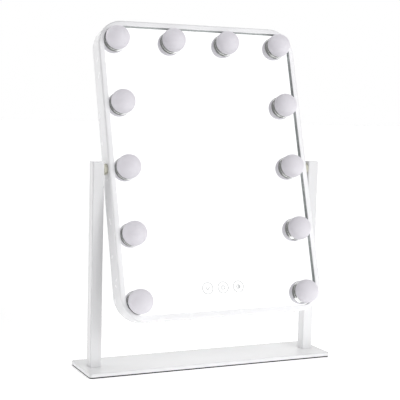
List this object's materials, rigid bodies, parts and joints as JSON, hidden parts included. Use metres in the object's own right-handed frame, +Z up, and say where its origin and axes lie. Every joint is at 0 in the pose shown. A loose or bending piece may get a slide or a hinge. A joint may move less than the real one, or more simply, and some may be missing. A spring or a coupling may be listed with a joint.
{
  "type": "lighted vanity mirror",
  "caption": "White tabletop vanity mirror: a rounded upright mirror head with frosted globe lamps on chrome collars, tilting between two square posts on a flat base.",
  "frame": {"origin": "middle of the foam pad's underside, on the surface that the stand rests on, midway between the posts and below the tilt axis", "axes": "+Z up, +X to the right as seen from the front, -Y the side that the mirror faces, +Y to the back"},
  "size_m": [0.42, 0.1795, 0.5418],
  "materials": {
    "white_stand": "gloss white powder coat",
    "foam": "closed-cell foam",
    "zinc_screw": "zinc plated",
    "spring_steel": "bare spring steel",
    "steel": "zinc plated",
    "nylon": "natural nylon",
    "white_frame": "satin white powder coat",
    "gasket": "pale grey foam tape",
    "mirror": "silvered glass",
    "carrier": "moulded plastic",
    "rear_panel": "fine-textured white plastic",
    "brass": "plated brass",
    "led_board": "white solder mask with yellow chips",
    "wire": "insulated wire",
    "circuit_board": "green solder mask",
    "black_plastic": "moulded plastic",
    "mark": "etched translucent mark",
    "frosted_globe": "frosted translucent plastic",
    "chrome": "bright chrome plate"
  },
  "bodies": {
    "stand": {"base_plate": "white_stand", "left_post": "white_stand", "right_post": "white_stand", "left_post_cap": "white_stand", "right_post_cap": "white_stand", "base_pad": "foam", "base_screws": "zinc_screw", "left_spring_washer": "spring_steel", "right_spring_washer": "spring_steel", "left_foot_block": "steel", "right_foot_block": "steel", "left_pivot_bush": "nylon", "right_pivot_bush": "nylon", "left_friction_washer": "nylon", "right_friction_washer": "nylon"},
    "head": {"left_pivot_bolt": "zinc_screw", "right_pivot_bolt": "zinc_screw", "left_pivot_bracket": "steel", "right_pivot_bracket": "steel", "frame_ring": "white_frame", "glass_gasket": "gasket", "mirror_glass": "mirror", "mirror_carrier": "carrier", "rear_cover": "rear_panel", "cover_screws": "zinc_screw", "lamp_nuts": "brass", "led_boards": "led_board", "lamp_wiring": "wire", "control_board_unit": "circuit_board", "touch_electrodes": "brass", "dc_jack": "black_plastic", "dc_jack_nut": "zinc_screw", "touch_mark_dim": "mark", "touch_mark_power": "mark", "touch_mark_tone": "mark", "lamp_globe_1": "frosted_globe", "lamp_globe_2": "frosted_globe", "lamp_globe_3": "frosted_globe", "lamp_globe_4": "frosted_globe", "lamp_globe_5": "frosted_globe", "lamp_globe_6": "frosted_globe", "lamp_globe_7": "frosted_globe", "lamp_globe_8": "frosted_globe", "lamp_globe_9": "frosted_globe", "lamp_globe_10": "frosted_globe", "lamp_globe_11": "frosted_globe", "lamp_globe_12": "frosted_globe", "lamp_collar_1": "chrome", "lamp_collar_2": "chrome", "lamp_collar_3": "chrome", "lamp_collar_4": "chrome", "lamp_collar_5": "chrome", "lamp_collar_6": "chrome", "lamp_collar_7": "chrome", "lamp_collar_8": "chrome", "lamp_collar_9": "chrome", "lamp_collar_10": "chrome", "lamp_collar_11": "chrome", "lamp_collar_12": "chrome"}
  },
  "joints": [
    {"name": "mirror_tilt", "type": "hinge", "parent": "stand", "child": "head", "pos_m": [0, 0, 0.312], "axis": [1, 0, 0], "continuous": true}
  ]
}
